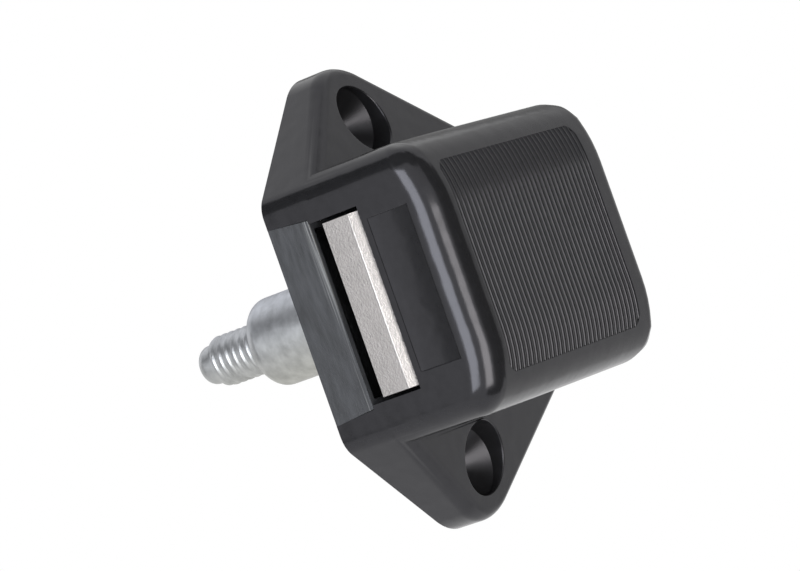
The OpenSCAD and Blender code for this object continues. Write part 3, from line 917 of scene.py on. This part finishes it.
class LOCK_OT_shell(bpy.types.Operator):
    """Builds the moulded shell with its lugs, ribs, slot and pocket"""

    bl_idname = "lock.shell"
    bl_label = "Shell"

    def execute(self, context):
        s = sizes()
        bore_edge = 0.2
        shell = box_core()
        combine(shell, rib_comb(), "DIFFERENCE")
        for sign in (-1, 1):
            combine(shell, lug(sign), "UNION")

        def junction(e):
            if len(e.link_faces) != 2 or e.calc_face_angle_signed(0) > -0.2:
                return False
            return all(abs(v.co.y - lug_face(v.co.z)) < 10 * TOUCH and abs(v.co.z) > 12 for v in e.verts)

        round_edges(shell, junction, s.lug_fillet, 4)
        for tool in [*screw_holes(), plate_seat(), *inner_room(), end_pocket()]:
            combine(shell, tool, "DIFFERENCE")

        def rims(e):
            a, b = e.verts[0].co, e.verts[1].co
            end_face = abs(a.x - SHELL_LOW.x) < TOUCH and abs(b.x - SHELL_LOW.x) < TOUCH
            inside = max(abs(a.z), abs(b.z)) < SLOT_HALF + 0.15 and max(a.y, b.y) < -5.4
            strip = POCKET_NEAR - 0.05 < min(a.y, b.y) and max(a.y, b.y) < SLOT_LOW + 0.1
            return turns_by(e, SHARP) and end_face and inside and not strip

        round_edges(shell, rims, s.small_edge, 3)

        def bore_rims(e):
            return turns_by(e, SHARP) and all(
                abs(v.co.y - lug_face(v.co.z)) < 2 * TOUCH
                and abs(math.hypot(v.co.x, abs(v.co.z) - s.lug_pitch / 2) - s.head_radius) < 20 * TOUCH
                for v in e.verts
            )

        round_edges(shell, bore_rims, bore_edge, 3)
        to_metres(shell, 32)
        dress(shell, black_plastic(), "lock_body", "housing")
        return {"FINISHED"}


class LOCK_OT_plate(bpy.types.Operator):
    """Builds the back plate and paints its two screws"""

    bl_idname = "lock.plate"
    bl_label = "Back plate"

    def execute(self, context):
        plate = copy_solid("base_plate", "back_plate")
        merge_flats(plate)
        soften(plate, sizes().plate_edge * MM, 50)
        dress(plate, grey_plastic(), "lock_body", "base_plate")
        paint(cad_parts["plate_screws"], plain_steel())
        return {"FINISHED"}


def thread_ridge(start, end, crest, root):
    """Thread: a round-crested ridge wound round the rod and closed at both ends."""
    pitch = sizes().thread_pitch
    steps = 9
    turn_steps = 64
    base_share = 0.96
    crest_power = 1.5
    rest()
    bpy.ops.mesh.primitive_circle_add(vertices=steps, radius=1, fill_type="NOTHING")
    obj = bpy.context.object
    obj.name = "thread_ridge"
    mesh = edit(obj, "VERT")
    for k, vert in enumerate(mesh.verts):
        part = k / (steps - 1)
        rise = math.sin(math.pi * part) ** crest_power
        vert.co = (root + (crest - root) * rise, start + pitch * base_share * part, 0)
    bmesh.update_edit_mesh(obj.data)
    rest()
    activate(obj)
    wind = obj.modifiers.new("wind", "SCREW")
    wind.axis = "Y"
    wind.steps = turn_steps
    wind.render_steps = turn_steps
    wind.iterations = int((end - start) / pitch)
    wind.screw_offset = pitch
    wind.use_merge_vertices = False
    bpy.ops.object.modifier_apply(modifier=wind.name)
    choose(obj, "EDGE", lambda e: e.is_boundary)
    bpy.ops.mesh.fill_holes(sides=steps)
    bpy.ops.mesh.select_all(action="SELECT")
    bpy.ops.mesh.normals_make_consistent(inside=False)
    rest()
    return obj


def arc(centre, radius, start, stop, steps):
    """Points of an arc in radius and level, between two angles in degrees."""
    points = []
    for k in range(steps + 1):
        a = math.radians(start + (stop - start) * k / steps)
        points.append((centre[0] + radius * math.cos(a), centre[1] + radius * math.sin(a)))
    return points


class LOCK_OT_rod(bpy.types.Operator):
    """Builds the push rod with its collar, thread and nose"""

    bl_idname = "lock.rod"
    bl_label = "Push rod"

    def execute(self, context):
        collar, thread, root, nose, tail = 5.2, 3.0, 2.86, 2.3, 3.0
        collar_low, shoulder, thread_end, tip = -5.45, 16.4, 23.3, ROD_HIGH.y
        tail_edge, collar_edge, shoulder_round, nose_round = 0.2, 0.15, 1.7, 1.2
        tip_flat = 0.5
        pin_level, pin_reach, pin_radius = -7.55, 8, 1.28
        profile = [(tail - tail_edge, ROD_LOW.y), (tail, ROD_LOW.y + tail_edge), (tail, collar_low)]
        profile += [(collar - collar_edge, collar_low), (collar, collar_low + collar_edge)]
        profile += arc((collar - shoulder_round, shoulder - shoulder_round), shoulder_round, 0, 90, 8)
        profile += [(thread - 0.05, shoulder), (root, shoulder + 0.35), (root, thread_end - 0.1)]
        profile += [(nose, thread_end), (nose, tip - nose_round)]
        profile += arc((nose - nose_round, tip - nose_round), nose_round, 10, 90, 8)
        profile.append((tip_flat, tip))
        rod = turned("turned_rod", profile)
        hole = barrel("cross_hole", (0, pin_level, -pin_reach), (0, pin_level, pin_reach), pin_radius, 48)
        combine(rod, hole, "DIFFERENCE")
        ridge = thread_ridge(shoulder + 0.2, thread_end - 0.1, thread, root - 0.1)
        rod = join([rod, ridge], "turned_rod")
        to_metres(rod, 35)
        dress(rod, bright_zinc(), "rod_group", "push_rod")
        return {"FINISHED"}


class LOCK_OT_bolt(bpy.types.Operator):
    """Builds the sliding bolt with softened edges"""

    bl_idname = "lock.bolt"
    bl_label = "Bolt"

    def execute(self, context):
        bolt = copy_solid("latch_bolt", "sliding_bolt")
        merge_flats(bolt)
        nose = BOLT_LOW.x * MM
        touch = TOUCH * MM
        lowest = min(v.co.y for v in bolt.data.vertices if abs(v.co.x - nose) < touch)

        def ridge(e):
            return all(abs(v.co.x - nose) < 2 * touch and abs(v.co.y - lowest) < 2 * touch for v in e.verts)

        round_edges(bolt, ridge, sizes().ridge_round * MM, 3)
        soften(bolt, sizes().small_edge * MM, 50)
        dress(bolt, satin_nickel(), "bolt", "latch_bolt")
        return {"FINISHED"}


class LOCK_OT_inside(bpy.types.Operator):
    """Dresses the pieces inside and builds smooth copies of the springs"""

    bl_idname = "lock.inside"
    bl_label = "Inner parts"

    def execute(self, context):
        for node, material in (
            ("slide_block", natural_acetal()),
            ("cam_plate", natural_acetal()),
            ("cross_pin", plain_steel()),
            ("cam_follower", plain_steel()),
            ("follower_spring", plain_steel()),
        ):
            paint(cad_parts[node], material)
        coil = copy_solid("return_spring", "return_coil")
        smooth(coil, 60)
        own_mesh(coil)
        dress(coil, plain_steel(), "lock_body", "return_spring")
        for node, name in (("bolt_spring_upper", "upper_coil"), ("bolt_spring_lower", "lower_coil")):
            coil = copy_solid(node, name)
            smooth(coil, 60)
            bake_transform(coil)
            paint(coil, plain_steel())
            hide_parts(node)
        return {"FINISHED"}


def sight(heading, height):
    """Direction seen from the lock, at a heading to the right of the camera and a height, in degrees."""
    a = math.radians(bpy.context.scene.lock_stage.azimuth + heading)
    e = math.radians(height)
    return Vector((math.sin(a) * math.cos(e), -math.cos(a) * math.cos(e), math.sin(e)))


def lamp(name, heading, height, distance, wide, tall, radiance, colour):
    """Soft box that faces the lock."""
    way = sight(heading, height)
    light = bpy.data.lights.new(name, "AREA")
    light.shape = "RECTANGLE"
    light.size = wide
    light.size_y = tall
    light.energy = radiance * math.pi * wide * tall
    light.color = colour
    obj = bpy.data.objects.new(name, light)
    bpy.context.scene.collection.objects.link(obj)
    obj.location = way * distance
    obj.rotation_euler = way.to_track_quat("Z", "Y").to_euler()


def backdrop_world():
    """White for the camera, for reflections and through glass, a plain grey light for the rest."""
    world = bpy.data.worlds.new("studio")
    world.use_nodes = True
    bpy.context.scene.world = world
    tree = world.node_tree
    sky = tree.nodes["Background"]
    path = tree.nodes.new("ShaderNodeLightPath")
    seen = add_math(tree, "Math", "MAXIMUM")
    also = add_math(tree, "Math", "MAXIMUM")
    level = tree.nodes.new("ShaderNodeMapRange")
    level.inputs["To Min"].default_value = 0.35
    level.inputs["To Max"].default_value = 1.0
    tree.links.new(path.outputs["Is Camera Ray"], seen.inputs[0])
    tree.links.new(path.outputs["Is Glossy Ray"], seen.inputs[1])
    tree.links.new(seen.outputs["Value"], also.inputs[0])
    tree.links.new(path.outputs["Is Transmission Ray"], also.inputs[1])
    tree.links.new(also.outputs["Value"], level.inputs["Value"])
    tree.links.new(level.outputs["Result"], sky.inputs["Strength"])
    sky.inputs["Color"].default_value = (1, 1, 1, 1)


def floor_material():
    material = bpy.data.materials.new("pale_floor")
    material.use_nodes = True
    tree = material.node_tree
    shader = tree.nodes["Principled BSDF"]
    shader.inputs["Base Color"].default_value = (0.82, 0.82, 0.82, 1)
    shader.inputs["Roughness"].default_value = 0.9
    glow = tree.nodes.new("ShaderNodeEmission")
    path = tree.nodes.new("ShaderNodeLightPath")
    seen = add_math(tree, "Math", "MAXIMUM")
    both = tree.nodes.new("ShaderNodeMixShader")
    tree.links.new(path.outputs["Is Camera Ray"], seen.inputs[0])
    tree.links.new(path.outputs["Is Glossy Ray"], seen.inputs[1])
    tree.links.new(seen.outputs["Value"], both.inputs["Fac"])
    tree.links.new(shader.outputs["BSDF"], both.inputs[1])
    tree.links.new(glow.outputs["Emission"], both.inputs[2])
    tree.links.new(both.outputs["Shader"], tree.nodes["Material Output"].inputs["Surface"])
    return material


def light_card(sheet, level):
    """Gives a card its even light and keeps it out of everything but reflections."""
    sheet.visible_camera = False
    sheet.visible_diffuse = False
    sheet.visible_shadow = False
    material = bpy.data.materials.new(sheet.name)
    material.use_nodes = True
    tree = material.node_tree
    tree.nodes.remove(tree.nodes["Principled BSDF"])
    glow = tree.nodes.new("ShaderNodeEmission")
    glow.inputs["Color"].default_value = (level, level, level, 1)
    tree.links.new(glow.outputs["Emission"], tree.nodes["Material Output"].inputs["Surface"])
    sheet.data.materials.append(material)


def card(name, heading, height, distance, wide, tall, level):
    """Evenly lit card beside the lock, seen only in reflections."""
    way = sight(heading, height)
    rest()
    turn = way.to_track_quat("Z", "Y").to_euler()
    bpy.ops.mesh.primitive_plane_add(size=1, location=way * distance, rotation=turn)
    sheet = bpy.context.object
    sheet.name = name
    sheet.scale = (wide, tall, 1)
    apply_place(sheet)
    light_card(sheet, level)


class LOCK_OT_stage(bpy.types.Operator):
    """Sets the camera, the soft lights, the pale floor and the white surroundings"""

    bl_idname = "lock.stage"
    bl_label = "Stage"

    def execute(self, context):
        stage = context.scene.lock_stage
        a, r = math.radians(stage.azimuth), math.radians(stage.roll)
        back = sight(0, stage.elevation)
        right = Vector((math.cos(a), math.sin(a), 0))
        up = back.cross(right)
        across = right * math.cos(r) + up * math.sin(r)
        upward = up * math.cos(r) - right * math.sin(r)
        camera = bpy.data.objects.new("camera", bpy.data.cameras.new("camera"))
        context.scene.collection.objects.link(camera)
        camera.data.lens = stage.lens
        camera.data.sensor_width = 36
        camera.data.clip_start = 0.01
        turn = Matrix((across, upward, back)).transposed().to_4x4()
        spot = (back * stage.distance + across * stage.aside + upward * stage.above) * MM
        camera.matrix_world = Matrix.Translation(spot) @ turn
        context.scene.camera = camera
        cool, warm = (0.93, 0.96, 1.0), (1.0, 0.97, 0.92)
        lamp(
            "left_box", heading=-30, height=2, distance=0.6, wide=0.36, tall=0.40, radiance=6.0, colour=cool
        )
        lamp(
            "right_box", heading=24, height=-17, distance=0.6, wide=0.28, tall=0.48, radiance=6.0, colour=warm
        )
        card("dark_card_right", heading=68, height=0, distance=0.24, wide=0.190, tall=0.94, level=0.10)
        card("dark_card_side", heading=97, height=0, distance=0.25, wide=0.070, tall=0.23, level=0.10)
        card("dark_card_top", heading=-4, height=55, distance=0.50, wide=0.64, tall=0.34, level=0.10)
        card("dark_card_high", heading=32, height=42, distance=0.50, wide=0.21, tall=0.25, level=0.10)
        card("dark_card_low", heading=46, height=-47, distance=0.34, wide=0.30, tall=0.132, level=0.06)
        card("grey_card_right", heading=128, height=0, distance=0.26, wide=0.205, tall=0.52, level=0.72)
        card("grey_card_back", heading=174, height=13, distance=0.34, wide=0.42, tall=0.23, level=0.30)
        card("dark_card_left", heading=-72, height=37, distance=0.50, wide=0.38, tall=0.33, level=0.06)
        card("grey_card_left", heading=-81.5, height=-4, distance=0.50, wide=0.24, tall=0.40, level=0.26)
        backdrop_world()
        rest()
        bpy.ops.mesh.primitive_plane_add(size=4, location=(0, 0, stage.floor * MM))
        floor = context.object
        floor.name = "floor"
        apply_place(floor)
        floor.data.materials.append(floor_material())
        context.scene.view_settings.view_transform = "Standard"
        return {"FINISHED"}


class LOCK_PT_panel(bpy.types.Panel):
    """Lists the lock's pieces and their sizes"""

    bl_idname = "LOCK_PT_panel"
    bl_label = "Push-button lock"
    bl_space_type = "VIEW_3D"
    bl_region_type = "UI"
    bl_category = "Lock"

    def draw(self, context):
        for operator in OPERATORS:
            self.layout.operator(operator.bl_idname)
        for group in (context.scene.lock_sizes, context.scene.lock_finish, context.scene.lock_stage):
            for name in group.__annotations__:
                self.layout.prop(group, name)


GROUPS = (LockSizes, LockFinish, LockStage)
OPERATORS = (LOCK_OT_shell, LOCK_OT_plate, LOCK_OT_rod, LOCK_OT_bolt, LOCK_OT_inside, LOCK_OT_stage)


def register():
    for item in GROUPS + OPERATORS + (LOCK_PT_panel,):
        bpy.utils.register_class(item)
    bpy.types.Scene.lock_sizes = PointerProperty(type=LockSizes)
    bpy.types.Scene.lock_finish = PointerProperty(type=LockFinish)
    bpy.types.Scene.lock_stage = PointerProperty(type=LockStage)


def unregister():
    del bpy.types.Scene.lock_stage
    del bpy.types.Scene.lock_finish
    del bpy.types.Scene.lock_sizes
    for item in reversed(GROUPS + OPERATORS + (LOCK_PT_panel,)):
        bpy.utils.unregister_class(item)


def main():
    register()
    bpy.ops.lock.stage()
    bpy.ops.lock.shell()
    bpy.ops.lock.plate()
    bpy.ops.lock.rod()
    bpy.ops.lock.bolt()
    bpy.ops.lock.inside()


if __name__ == "__main__":
    main()
